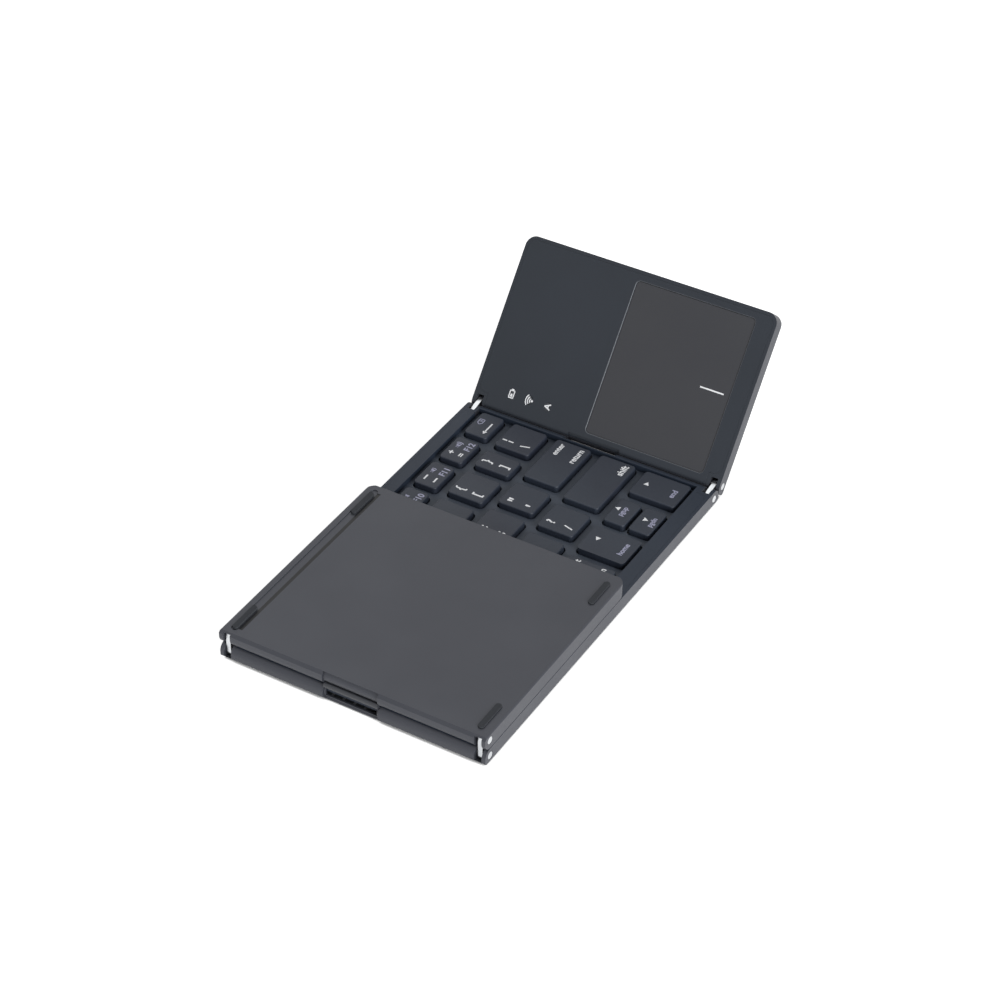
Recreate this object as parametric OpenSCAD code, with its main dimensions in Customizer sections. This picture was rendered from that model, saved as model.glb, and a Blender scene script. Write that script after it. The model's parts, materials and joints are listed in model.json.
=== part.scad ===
// Folding pocket keyboard with a touchpad: a middle panel and two flaps on double-pivot hinges.
// X runs to the typist's right, Y away from the typist, Z up. The origin is at the middle of the
// middle panel, on its underside. Each panel is drawn flat, then its flap is folded to the rest pose.

/* [Panels] */
// Size of each panel from the typist's edge to the far edge
panel_d = 98; // [94:0.5:110]
// Thickness of each panel without its feet
panel_t = 5.5; // [5.4:0.1:6.5]
// Length of the middle panel between its two hinge ends
middle_l = 152.2; // [151.9:0.1:165]
// Length of the left flap
left_l = 87.9; // [83:0.1:88.2]
// Length of the right flap
right_l = 63.8; // [62.5:0.1:64.1]
// Radius of the outer corners of a flap, seen from above
corner_r = 4; // [2.5:0.5:6]
// Chamfer along the underside at each hinge end
toe_chamfer = 1; // [0.4:0.1:1.2]
// Chamfer along the other edges of the underside
edge_chamfer = 0.4; // [0.2:0.1:0.8]

/* [Walls] */
// Wall of a shell along its front, back and outer end
side_wall = 1.2; // [1:0.1:1.8]
// Wall of a shell at a hinge end
end_wall = 1.7; // [1.4:0.1:1.9]
// Floor of a shell
floor_t = 0.6; // [0.5:0.05:0.7]
// Width of the ledge inside the front and back walls that carries a frame or cover
ledge_w = 5.3; // [5.2:0.1:5.6]
// Width of the ledge inside the outer end of a flap
end_ledge_w = 3.7; // [3:0.1:4]
// Gap between a frame or cover and its shell
seam = 0.05; // [0.03:0.01:0.1]

/* [Hinges] */
// Distance of a hinge pin from its panel's end and from its key face
hinge_r = 3; // [2.9:0.05:3.1]
// Gap between two panels, open flat or folded shut
fold_gap = 0.2; // [0.15:0.05:0.4]
// Radius of the round ends of a link
link_r = 1.8; // [1.5:0.05:1.9]
// Thickness of a link
link_t = 1.7; // [1.2:0.1:1.8]
// Thickness of the ear outside each link
ear_t = 1.4; // [1.2:0.1:1.6]
// Gap between a link and the ear
ear_gap = 0.3; // [0.2:0.05:0.4]
// Gap between a link and the knuckle inside it
knuckle_gap = 0.7; // [0.5:0.05:0.8]
// Radius of a hinge pin
pin_r = 0.8; // [0.6:0.05:0.9]
// Radius of the head of a hinge pin
pin_head_r = 1.3; // [1.1:0.05:1.5]
// Thickness of the head of a hinge pin
pin_head_t = 0.5; // [0.4:0.05:0.6]
// Running clearance round a hinge pin
pin_clearance = 0.05; // [0.03:0.01:0.08]

/* [Cable sleeves] */
// Length of the sleeve that covers the ribbon cable at each hinge
sleeve_l = 20; // [14:0.5:26]
// Radius of the sleeve
sleeve_r = 1; // [0.8:0.05:1.1]
// Distance of the sleeve from the line through the two pins
sleeve_offset = 1.75; // [1.7:0.05:1.85]
// Gap round the sleeve
sleeve_gap = 0.15; // [0.1:0.05:0.2]
// Height of the slot that the ribbon cable runs through
cable_slot_h = 2.3; // [1.8:0.1:2.5]
// Thickness of the ribbon cable
cable_t = 0.3; // [0.2:0.05:0.4]

/* [Keys] */
// Depth of the deck below the rim
deck_depth = 2.3; // [2.1:0.05:2.4]
// Thickness of the deck
deck_t = 0.5; // [0.4:0.05:0.6]
// Distance of the key tops below the rim
key_drop = 0.2; // [0.15:0.05:0.4]
// Travel of a key
key_travel = 1.1; // [0.8:0.05:1.15]
// Radius of the corners of a key
key_r = 1.3; // [0.8:0.1:1.8]
// Thickness of the top of a key
key_top_t = 0.9; // [0.7:0.05:1.1]
// Thickness of the sides of a key
key_side_t = 0.8; // [0.6:0.05:1]
// Gap between a key and its window in the deck
window_gap = 0.45; // [0.35:0.05:0.55]
// Gap between two rows of keys
row_gap = 3.8; // [3.4:0.1:4.4]
// Gap between two letter keys of a row
letter_gap = 4; // [3.4:0.1:4.4]
// Gap between two keys of the number row
number_gap = 3.3; // [3:0.1:4]
// Gap between the two half-height arrow keys
arrow_gap = 1.4; // [1.3:0.1:1.8]
// Width of a letter key
letter_w = 13.3; // [13:0.1:13.5]
// Width of the narrow key beside the backslash key
narrow_w = 9.4; // [8.6:0.1:10]
// Width of the backslash key
backslash_w = 14; // [13:0.1:14.6]
// Width of the quote key
quote_w = 12.7; // [12:0.1:13.4]
// Width of the enter key
enter_w = 24; // [22:0.5:25]
// Width of the right shift key
shift_w = 27.3; // [25:0.1:28]
// Width of the arrow keys and the key beside them
arrow_w = 13.4; // [12:0.1:15]
// Width of the four function keys at the left of the bottom row
function_w = 12; // [10:0.5:13]
// Width of the letter key at the hinge in the home row of the left flap
inner_home_w = 10; // [9:0.5:13]
// Size of the number keys from front to back
number_d = 9; // [8:0.1:10]
// Size of the bottom keys from front to back
bottom_d = 17.6; // [16.6:0.1:18.5]
// Distance from the front edge of a panel to its front keys
front_margin = 8; // [7.9:0.1:9]
// Distance from the far edge of a panel to its number keys
back_margin = 7.3; // [7.2:0.1:8]
// Distance from a hinge end to the keys
hinge_margin = 4.05; // [3.9:0.05:4.4]
// Distance from the left flap's outer end to its keys
outer_margin = 4.4; // [4.2:0.1:5]
// Space between the keys and the deck's edge
deck_margin = 0.7; // [0.6:0.05:0.8]

/* [Switches] */
// Thickness of the steel plate under the membrane
plate_t = 0.2; // [0.15:0.05:0.25]
// Thickness of the switch membrane
membrane_t = 0.15; // [0.1:0.05:0.2]
// Radius of the foot of a rubber dome
dome_r = 2.4; // [1.8:0.1:2.6]
// Radius of the top of a rubber dome
dome_top_r = 1.3; // [1:0.1:1.6]

/* [Feet and screws] */
// Height of the rubber feet below the underside
foot_h = 0.6; // [0.4:0.05:1.4]
// Length of a rubber foot
foot_l = 12.3; // [9:0.1:14]
// Width of a front foot
front_foot_w = 2.2; // [2.1:0.1:3.2]
// Width of a back foot
back_foot_w = 2; // [1.6:0.1:2.2]
// Depth of the channel along the back of the underside
channel_depth = 0.35; // [0.25:0.05:0.4]
// Distance from the ends of a panel to the ends of the channel
channel_x = 2.5; // [2:0.1:4]
// Width of the flat bed of the channel
channel_w = 2.5; // [2.4:0.1:2.8]
// Width of the slope between the underside and the bed
channel_slope_w = 1.5; // [1:0.1:1.6]
// Radius of a screw
screw_r = 0.6; // [0.5:0.05:0.7]
// Radius of a screw head
screw_head_r = 0.95; // [0.85:0.05:1]
// Thickness of a screw head
screw_head_t = 0.5; // [0.4:0.05:0.6]

/* [Touchpad flap] */
// Distance from the touchpad to the outer end of the flap
touchpad_end = 3.7; // [2.9:0.1:9]
// Size of the touchpad from front to back
touchpad_d = 45.8; // [40:0.1:47]
// Distance from the hinge end to the touchpad
touchpad_x = 4.9; // [4:0.1:5.1]
// Distance from the front edge to the touchpad
touchpad_y = 7.5; // [7:0.1:9]
// Thickness of the touchpad
touchpad_t = 0.6; // [0.5:0.05:0.7]
// Distance of the touchpad's surface below the cover
touchpad_drop = 0.3; // [0.15:0.05:0.35]
// Radius of the corners of the touchpad
touchpad_r = 1.5; // [1:0.1:3]
// Thickness of the cover
cover_t = 1.4; // [1.3:0.05:1.5]
// Distance from the hinge end to the battery
battery_x = 14; // [8:0.5:16]
// Length of the battery
battery_l = 38; // [30:0.5:44]
// Space between the battery and the boards and walls beside it
battery_gap = 1; // [0.5:0.1:3]
// Thickness of the battery
battery_t = 2.4; // [1.8:0.1:2.6]
// Thickness of a circuit board
board_t = 0.8; // [0.6:0.05:0.8]
// Width of the charging socket
socket_w = 7.6; // [7:0.1:8.5]
// Height of the charging socket
socket_h = 2.4; // [2:0.1:2.5]

/* [Rest pose] */
// Angle of the left links above the table
left_link_angle = 90; // [0:1:90]
// Angle of the left flap above its links
left_flap_angle = 90; // [0:1:90]
// Angle of the right links above the table
right_link_angle = 11.6; // [0:0.1:90]
// Angle of the right flap above its links
right_flap_angle = 38.8; // [0:0.1:90]

/* [Hidden] */
$fn = 48;
over = 1;
half_d = panel_d / 2;
pin_h = panel_t - hinge_r;
link_pitch = 2 * hinge_r + fold_gap;
link_y = half_d - ear_t - ear_gap - link_t;
slot_y = link_y - knuckle_gap;
slot_skin = pin_h - link_r - 0.15;
slot_l = hinge_r + link_r + 0.2;
knuckle_l = slot_l + 1.2;
knuckle_y = half_d - ledge_w;
pin_end_y = knuckle_y + 0.2;
sleeve_dist = sqrt(pow(link_pitch / 2, 2) + pow(sleeve_offset, 2));
nose_r = sleeve_dist - sleeve_r - sleeve_gap;
notch_y = sleeve_l / 2 + sleeve_gap;
toe_angle = atan2(sleeve_offset, link_pitch / 2) + asin((sleeve_r + sleeve_gap) / sleeve_dist);
cable_slot_z = pin_h - 0.8;
deck_z = panel_t - deck_depth;
frame_z = deck_z - deck_t;
cover_z = panel_t - cover_t;
key_top = panel_t - key_drop;
hook_t = 0.3;
hook_l = 1;
hook_w = 4;
hook_top = frame_z - 0.05;
key_bottom = hook_top - hook_t;
plate_z = floor_t;
membrane_z = plate_z + plate_t;
dome_z = membrane_z + membrane_t;
dome_h = key_top - key_top_t - key_travel - 0.1 - dome_z;
field_y0 = -half_d + front_margin;
field_y1 = half_d - back_margin;
letter_d = hundredths((field_y1 - field_y0 - number_d - bottom_d - 4 * row_gap) / 3);
number_y = field_y1 - number_d;
upper_y = number_y - row_gap - letter_d;
home_y = upper_y - row_gap - letter_d;
lower_y = home_y - row_gap - letter_d;
arrow_d = (bottom_d - arrow_gap) / 2;
rim_front = front_margin - 1.4;
middle_field = middle_l - 2 * hinge_margin;
left_field = left_l - hinge_margin - outer_margin;
channel_y1 = half_d - 2.4;
channel_y0 = channel_y1 - channel_w;
front_foot_y = -half_d + 4.2;
back_foot_y = (channel_y0 + channel_y1) / 2;
screw_inset = 9.75;
screw_top = frame_z + 1.8;
cover_screw_top = panel_t - 0.6;
tray_gap = 0.3;
touchpad_top = panel_t - touchpad_drop;
sensor_z = cover_z - board_t - seam;
electronics_y = -half_d + touchpad_y + touchpad_d + 3;
main_board_d = 13;
socket_y = electronics_y + main_board_d / 2;
socket_z = floor_t + 0.4;
socket_depth = 5.4;
light_x = 8.7;
light_w = 3;
light_d = 1.6;
light_pitch = 7.2;
light_y = half_d - 13.9;
magnet_r = 1.5;
magnet_h = 1.3;
// Chips: place as shares of the board's length and width, then length, width and height
chips = [[0.26, 0.5, 7, 7, 0.9], [0.51, 0.5, 5, 5, 0.7], [0.68, 0.23, 3, 2, 0.8],
    [0.82, 0.67, 2, 1.5, 0.6]];

// Key widths of each row, from the right end or the hinge end outwards; a zero takes what is left
middle_number = [for (i = [0:7]) hundredths((middle_field - 8 * number_gap) / 9), 0];
middle_upper = [backslash_w, narrow_w, for (i = [0:5]) letter_w, 0];
middle_home = [enter_w, quote_w, for (i = [0:4]) letter_w, 0];
middle_lower = [shift_w, for (i = [0:5]) letter_w, 0];
middle_bottom = [arrow_w, arrow_w, arrow_w, arrow_w, 0];
left_number = [for (i = [0:3]) hundredths((left_field - 4 * number_gap) / 5), 0];
left_upper = [for (i = [0:3]) letter_w, 0];
left_home = [inner_home_w, for (i = [0:2]) letter_w, 0];
left_lower = [for (i = [0:2]) letter_w, 0];
left_bottom = [0, function_w, function_w, function_w, function_w];

function total(list, n) = n <= 0 ? 0 : list[n - 1] + total(list, n - 1);
// A size cut to hundredths, so that the sides of a key meet its round corners exactly
function hundredths(size) = floor(size * 100 + 0.01) / 100;
// The last or first key of a row that has no width of its own fills the row
function filled(widths, gap, field) =
    let (spare = field - total(widths, len(widths)) - gap * (len(widths) - 1))
    [for (w = widths) w == 0 ? spare : w];
// Near and far edge of key i of a row, measured from the near end of the key field
function key_span(row, gap, i) =
    let (start = total(row, i) + gap * i) [start, start + row[i]];

// Solid between two opposite corners
module block(low, high) {
    translate(low) cube(high - low);
}

// Block with round upright edges
module rounded_block(low, high, r) {
    block([low.x + r, low.y, low.z], [high.x - r, high.y, high.z]);
    block([low.x, low.y + r, low.z], [high.x, high.y - r, high.z]);
    for (x = [low.x + r, high.x - r], y = [low.y + r, high.y - r])
        translate([x, y, low.z]) cylinder(r = r, h = high.z - low.z);
}

// Rod along Y, centred on x and z
module rod_y(x, z, y0, y1, r) {
    translate([x, y0, z]) rotate([-90, 0, 0]) cylinder(r = r, h = y1 - y0);
}

// Prism along Y from an outline in X and Z
module prism_y(points, y0, y1) {
    translate([0, y1, 0]) rotate([90, 0, 0]) linear_extrude(height = y1 - y0) polygon(points);
}

// Prism along X from an outline in Y and Z
module prism_x(points, x0, x1) {
    translate([x0, 0, 0]) rotate([90, 0, 90]) linear_extrude(height = x1 - x0) polygon(points);
}

// Panel places: each panel is drawn with a hinge end at x = 0 and its keys facing up
module on_middle() {
    translate([middle_l / 2, 0, 0]) mirror([1, 0, 0]) children();
}
module on_right_links() {
    translate([middle_l / 2 - hinge_r, 0, pin_h]) rotate([0, -right_link_angle, 0]) children();
}
module on_left_links() {
    mirror([1, 0, 0]) translate([middle_l / 2 - hinge_r, 0, pin_h])
        rotate([0, -left_link_angle, 0]) children();
}
module on_flap(angle) {
    translate([link_pitch, 0, 0]) rotate([0, -angle, 0])
        translate([-hinge_r, 0, -pin_h]) children();
}
module on_right_flap() {
    on_right_links() on_flap(right_flap_angle) children();
}
module on_left_flap() {
    on_left_links() on_flap(left_flap_angle) children();
}

// Round key-side edge of a hinge end, about its pin
module hinge_round_cut() {
    difference() {
        block([-over, -half_d - over, pin_h], [hinge_r, half_d + over, panel_t + over]);
        rod_y(hinge_r, pin_h, -half_d - 2 * over, half_d + 2 * over, hinge_r);
    }
}

// Notch at the middle of a hinge end that leaves room for the cable sleeve
module cable_notch_cut() {
    toe_x = hinge_r - (pin_h + over) / tan(toe_angle);
    difference() {
        block([-over, -notch_y, -over], [hinge_r, notch_y, panel_t + over]);
        rod_y(hinge_r, pin_h, -notch_y - over, notch_y + over, nose_r);
        prism_y([[hinge_r, pin_h], [toe_x, -over], [hinge_r, -over]], -notch_y - over,
            notch_y + over);
    }
}

// Slots for the two links, with a thin skin under each
module link_slot_cut() {
    for (side = [0, 1]) mirror([0, side, 0])
        block([-over, slot_y, slot_skin], [slot_l, half_d - ear_t, panel_t + over]);
}

// Pin bores through ear and knuckle, with a seat for each head
module pin_bore_cut() {
    for (side = [0, 1]) mirror([0, side, 0]) {
        rod_y(hinge_r, pin_h, knuckle_y - over, half_d + over, pin_r + pin_clearance);
        rod_y(hinge_r, pin_h, half_d - pin_head_t - 0.1, half_d + over,
            pin_head_r + pin_clearance);
    }
}

// Everything that a hinge end cuts from a shell
module hinge_end_cut() {
    hinge_round_cut();
    cable_notch_cut();
    link_slot_cut();
    pin_bore_cut();
    prism_y([[-over, -over], [toe_chamfer + over, -over], [-over, toe_chamfer + over]],
        -half_d - over, half_d + over);
}

// Round corners and chamfer of the outer end of a flap
module outer_end_cut(l) {
    for (side = [0, 1]) mirror([0, side, 0]) difference() {
        block([l - corner_r, half_d - corner_r, -over], [l + over, half_d + over, panel_t + over]);
        translate([l - corner_r, half_d - corner_r, -2 * over])
            cylinder(r = corner_r, h = panel_t + 4 * over);
    }
    prism_y([[l + over, -over], [l - edge_chamfer - over, -over], [l + over, edge_chamfer + over]],
        -half_d - over, half_d + over);
}

// Chamfers along the front and back of the underside
module side_chamfer_cut(l) {
    for (side = [0, 1]) mirror([0, side, 0])
        prism_x([[half_d + over, -over], [half_d - edge_chamfer - over, -over],
            [half_d + over, edge_chamfer + over]], -over, l + over);
}

// Long channel near the back of the underside, with a sloping front side and round ends
module channel_cut(l) {
    x1 = l - channel_x;
    rounded_block([channel_x, channel_y0, -over], [x1, channel_y1, channel_depth],
        channel_w / 2 - 0.01);
    prism_x([[channel_y0 + 0.2, -over], [channel_y0 - channel_slope_w, -over],
        [channel_y0 - channel_slope_w, 0], [channel_y0, channel_depth],
        [channel_y0 + 0.2, channel_depth]], channel_x + channel_w / 2, x1 - channel_w / 2);
}

// Middle of each front and back foot, as [x, y, z of the face it sits on, width]
function feet(l, far) = [
    [screw_inset, front_foot_y, 0, front_foot_w],
    [l - far, front_foot_y, 0, front_foot_w],
    [channel_x + foot_l / 2 + 0.6, back_foot_y, channel_depth, back_foot_w],
    [l - far, back_foot_y, channel_depth, back_foot_w]];

// The x of the feet at the far end of each panel
middle_far_foot = screw_inset;
flap_far_foot = 10.8;

// Rubber feet, each a bar with round ends
module foot_bars(l, far) {
    color([0.16, 0.17, 0.18])
    for (f = feet(l, far))
        rounded_block([f[0] - foot_l / 2, f[1] - f[3] / 2, -foot_h],
            [f[0] + foot_l / 2, f[1] + f[3] / 2, f[2]], f[3] / 2 - 0.01);
}

// Screw holes under the feet, from the shell into the frame or cover
module screw_hole_cut(l, far, top) {
    for (f = feet(l, far)) {
        translate([f[0], f[1], -over]) cylinder(r = screw_r + seam, h = top + over + 0.1);
        translate([f[0], f[1], -over])
            cylinder(r = screw_head_r + seam, h = f[2] + screw_head_t + seam + over);
    }
}

// Screws with flat heads
module screw_set(l, far, top) {
    color([0.55, 0.56, 0.58])
    for (f = feet(l, far)) translate([f[0], f[1], f[2] + 0.02]) {
        cylinder(r = screw_head_r, h = screw_head_t);
        cylinder(r = screw_r, h = top - f[2] - 0.02);
    }
}

// Footprint of a frame or cover, less a gap all round; both = 1 for a panel with two hinge ends
module inset_block(l, both, z0, z1, gap) {
    wide_end = both == 1 ? l - knuckle_l : l - side_wall;
    narrow_end = both == 1 ? l - end_wall : l - side_wall - corner_r;
    block([end_wall + gap, -knuckle_y + gap, z0], [narrow_end - gap, knuckle_y - gap, z1]);
    rounded_block([knuckle_l + gap, -half_d + side_wall + gap, z0],
        [wide_end - gap, half_d - side_wall - gap, z1], corner_r - side_wall - gap);
}

// Lower shell: floor, walls, ledges and hinge knuckles around a tray
module shell(l, both, split_z, far) {
    tray_end = both == 1 ? l - end_wall : l - end_ledge_w;
    difference() {
        block([0, -half_d, 0], [l, half_d, panel_t]);
        block([end_wall, -knuckle_y, floor_t], [tray_end, knuckle_y, panel_t + over]);
        inset_block(l, both, split_z, panel_t + over, 0);
        hinge_end_cut();
        if (both == 1) translate([l, 0, 0]) mirror([1, 0, 0]) hinge_end_cut();
        else outer_end_cut(l);
        side_chamfer_cut(l);
        channel_cut(l);
        screw_hole_cut(l, far, split_z);
    }
}

// Slot that leads the ribbon cable through a hinge wall of the middle panel
module cable_slot_cut() {
    block([-over, -sleeve_l / 2 + 0.5, cable_slot_z],
        [end_wall + over, sleeve_l / 2 - 0.5, cable_slot_z + cable_slot_h]);
}

// Window of one key in the deck
module key_window(near, far, y0, y1) {
    rounded_block([near - window_gap, y0 - window_gap, frame_z - over],
        [far + window_gap, y1 + window_gap, deck_z + over], key_r + window_gap);
}

// Hollow key with a hook under the deck at its front, its back or both
module key_cap(near, far, y0, y1, front_hook, back_hook) {
    mid = (near + far) / 2;
    difference() {
        rounded_block([near, y0, key_bottom], [far, y1, key_top], key_r);
        block([near + key_side_t, y0 + key_side_t, key_bottom - over],
            [far - key_side_t, y1 - key_side_t, key_top - key_top_t]);
    }
    if (front_hook) block([mid - hook_w / 2, y0 - hook_l, key_bottom],
        [mid + hook_w / 2, y0 + key_side_t / 2, hook_top]);
    if (back_hook) block([mid - hook_w / 2, y1 - key_side_t / 2, key_bottom],
        [mid + hook_w / 2, y1 + hook_l, hook_top]);
}

// Rubber dome at the middle of a key
module key_dome(near, far, y0, y1) {
    translate([(near + far) / 2, (y0 + y1) / 2, dome_z])
        cylinder(r1 = dome_r, r2 = dome_top_r, h = dome_h);
}

// Draws a window (0), a key (1) or a dome (2) at one place
module key_item(item, near, far, y0, y1, front_hook = true, back_hook = true) {
    if (item == 0) key_window(near, far, y0, y1);
    if (item == 1) key_cap(near, far, y0, y1, front_hook, back_hook);
    if (item == 2) key_dome(near, far, y0, y1);
}

// Keys first to last of a row, drawn from the panel's near margin
module key_row(item, widths, gap, field, y, d, first, last) {
    row = filled(widths, gap, field);
    for (i = [first:last]) {
        span = key_span(row, gap, i);
        key_item(item, hinge_margin + span[0], hinge_margin + span[1], y, y + d);
    }
}

module number_row(item, first, last) {
    key_row(item, middle_number, number_gap, middle_field, number_y, number_d, first, last);
}
module upper_row(item, first, last) {
    key_row(item, middle_upper, letter_gap, middle_field, upper_y, letter_d, first, last);
}
module home_row(item, first, last) {
    key_row(item, middle_home, letter_gap, middle_field, home_y, letter_d, first, last);
}
module lower_row(item, first, last) {
    key_row(item, middle_lower, letter_gap, middle_field, lower_y, letter_d, first, last);
}
module bottom_row(item, first, last) {
    key_row(item, middle_bottom, letter_gap, middle_field, field_y0, bottom_d, first, last);
}

// Half-height arrow key, at the back (1) or front (0) of its place
module arrow_half(item, back) {
    span = key_span(filled(middle_bottom, letter_gap, middle_field), letter_gap, 1);
    y0 = field_y0 + back * (arrow_d + arrow_gap);
    key_item(item, hinge_margin + span[0], hinge_margin + span[1], y0, y0 + arrow_d,
        back == 0, back == 1);
}

// All keys, windows or domes of the middle panel
module middle_keys(item) {
    number_row(item, 0, 8);
    upper_row(item, 0, 8);
    home_row(item, 0, 7);
    lower_row(item, 0, 7);
    bottom_row(item, 0, 0);
    bottom_row(item, 2, 4);
    arrow_half(item, 0);
    arrow_half(item, 1);
}

// One row of the left flap, 0 at the back
module left_row(item, n) {
    if (n == 0)
        key_row(item, left_number, number_gap, left_field, number_y, number_d, 0, 4);
    if (n == 1)
        key_row(item, left_upper, letter_gap, left_field, upper_y, letter_d, 0, 4);
    if (n == 2)
        key_row(item, left_home, letter_gap, left_field, home_y, letter_d, 0, 4);
    if (n == 3)
        key_row(item, left_lower, letter_gap, left_field, lower_y, letter_d, 0, 3);
    if (n == 4)
        key_row(item, left_bottom, letter_gap, left_field, field_y0, bottom_d, 0, 4);
}

// Frame with the rim and the deck; key windows are passed as children
module key_frame(l, both) {
    far_end = both == 1 ? hinge_margin : outer_margin;
    difference() {
        inset_block(l, both, frame_z, panel_t, seam);
        block([hinge_margin - deck_margin, -half_d + rim_front, deck_z],
            [l - far_end + deck_margin, half_d - ledge_w, panel_t + over]);
        hinge_round_cut();
        cable_notch_cut();
        if (both == 1) translate([l, 0, 0]) mirror([1, 0, 0]) {
            hinge_round_cut();
            cable_notch_cut();
        }
        screw_pilots(l, both);
        children();
    }
}

// Blind holes in a frame for the screw tips
module screw_pilots(l, both) {
    far = both == 1 ? middle_far_foot : flap_far_foot;
    for (f = feet(l, far))
        translate([f[0], f[1], 0]) cylinder(r = screw_r + seam, h = screw_top + 0.1);
}

// Flat sheet that fills the tray of a panel
module tray_sheet(l, both, z, t) {
    tray_end = both == 1 ? l - end_wall : l - end_ledge_w;
    block([end_wall + tray_gap, -knuckle_y + tray_gap, z],
        [tray_end - tray_gap, knuckle_y - tray_gap, z + t]);
}

// Middle panel
module middle_base() {
    color([0.40, 0.41, 0.43]) on_middle() difference() {
        shell(middle_l, 1, frame_z, middle_far_foot);
        cable_slot_cut();
        translate([middle_l, 0, 0]) mirror([1, 0, 0]) cable_slot_cut();
        magnet_place(seam);
    }
}
module middle_frame() {
    color([0.24, 0.26, 0.29]) on_middle() key_frame(middle_l, 1) middle_keys(0);
}
module middle_key_plate() {
    color([0.62, 0.63, 0.65]) on_middle() tray_sheet(middle_l, 1, plate_z, plate_t);
}
module middle_membrane() {
    color([0.75, 0.78, 0.74]) on_middle() tray_sheet(middle_l, 1, membrane_z, membrane_t);
}
module middle_domes() {
    color([0.86, 0.86, 0.84]) on_middle() middle_keys(2);
}
module middle_feet() {
    on_middle() foot_bars(middle_l, middle_far_foot);
}
module middle_screws() {
    on_middle() screw_set(middle_l, middle_far_foot, screw_top);
}

// Magnet in the back ledge, opposite the hall switch of the folded right flap
module magnet_place(gap) {
    translate([right_l - end_ledge_w - 8, half_d - ledge_w / 2, frame_z - magnet_h - gap])
        cylinder(r = magnet_r + gap, h = magnet_h + gap * 2);
}
module switch_magnet() {
    color([0.70, 0.71, 0.73]) on_middle() magnet_place(0);
}

// Left flap
module left_base() {
    color([0.33, 0.34, 0.36]) on_left_flap() shell(left_l, 0, frame_z, flap_far_foot);
}
module left_frame() {
    color([0.24, 0.26, 0.29]) on_left_flap() key_frame(left_l, 0)
        for (n = [0:4]) left_row(0, n);
}
module left_key_plate() {
    color([0.62, 0.63, 0.65]) on_left_flap() tray_sheet(left_l, 0, plate_z, plate_t);
}
module left_membrane() {
    color([0.75, 0.78, 0.74]) on_left_flap() tray_sheet(left_l, 0, membrane_z, membrane_t);
}
module left_domes() {
    color([0.86, 0.86, 0.84]) on_left_flap() for (n = [0:4]) left_row(2, n);
}
module left_feet() {
    on_left_flap() foot_bars(left_l, flap_far_foot);
}
module left_screws() {
    on_left_flap() screw_set(left_l, flap_far_foot, screw_top);
}

// Right flap
module right_base() {
    color([0.33, 0.34, 0.36]) on_right_flap() difference() {
        shell(right_l, 0, cover_z, flap_far_foot);
        block([right_l - end_ledge_w - over, socket_y - socket_w / 2 - seam, socket_z - seam],
            [right_l + over, socket_y + socket_w / 2 + seam, socket_z + socket_h + seam]);
    }
}

// Place of the touchpad, less a gap all round
module touchpad_place(z0, z1, gap) {
    rounded_block([touchpad_x + gap, -half_d + touchpad_y + gap, z0],
        [right_l - touchpad_end - gap, -half_d + touchpad_y + touchpad_d - gap, z1],
        touchpad_r - gap);
}

// Places of the three indicator lights, less a gap all round
module light_places(z0, z1, gap) {
    for (i = [0:2])
        rounded_block([light_x - light_w / 2 + gap, light_y - i * light_pitch - light_d / 2 + gap, z0],
            [light_x + light_w / 2 - gap, light_y - i * light_pitch + light_d / 2 - gap, z1],
            light_d / 2 - gap - 0.01);
}
module right_cover() {
    color([0.23, 0.25, 0.28]) on_right_flap() difference() {
        inset_block(right_l, 0, cover_z, panel_t, seam);
        touchpad_place(touchpad_top - touchpad_t, panel_t + over, 0);
        hinge_round_cut();
        cable_notch_cut();
        for (f = feet(right_l, flap_far_foot))
            translate([f[0], f[1], 0]) cylinder(r = screw_r + seam, h = cover_screw_top + 0.1);
        light_places(0, panel_t + over, 0);
    }
}
module touchpad() {
    color([0.27, 0.27, 0.28]) on_right_flap()
        touchpad_place(touchpad_top - touchpad_t, touchpad_top, seam);
}
module touch_sensor_board() {
    color([0.10, 0.32, 0.20]) on_right_flap()
        block([end_wall + 2 * tray_gap, -half_d + touchpad_y, sensor_z],
            [right_l - end_ledge_w - tray_gap, -half_d + touchpad_y + touchpad_d, cover_z - seam]);
}
module main_board() {
    z = floor_t + tray_gap / 3;
    x0 = end_wall + tray_gap;
    board_l = right_l - end_ledge_w - tray_gap - socket_depth - x0;
    color([0.10, 0.32, 0.20]) on_right_flap() {
        block([x0, electronics_y, z], [x0 + board_l, electronics_y + main_board_d, z + board_t]);
        for (c = chips) translate([x0 + c[0] * board_l, electronics_y + c[1] * main_board_d, z + board_t])
            block([-c[2] / 2, -c[3] / 2, 0], [c[2] / 2, c[3] / 2, c[4]]);
    }
}
module battery() {
    color([0.72, 0.73, 0.76]) on_right_flap()
        rounded_block([battery_x, electronics_y + main_board_d + battery_gap, floor_t + 0.05],
            [battery_x + battery_l, knuckle_y - battery_gap, floor_t + battery_t], 1);
}
module charging_socket() {
    color([0.75, 0.76, 0.78]) on_right_flap() difference() {
        block([right_l - end_ledge_w - socket_depth, socket_y - socket_w / 2, socket_z],
            [right_l - 0.2, socket_y + socket_w / 2, socket_z + socket_h]);
        block([right_l - 4.6, socket_y - socket_w / 2 + 0.4, socket_z + 0.4],
            [right_l + over, socket_y + socket_w / 2 - 0.4, socket_z + socket_h - 0.4]);
    }
}
module indicator_lights() {
    color([0.92, 0.93, 0.95]) on_right_flap() light_places(cover_z, panel_t, seam);
}
module right_feet() {
    on_right_flap() foot_bars(right_l, flap_far_foot);
}
module right_screws() {
    on_right_flap() screw_set(right_l, flap_far_foot, cover_screw_top);
}

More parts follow.
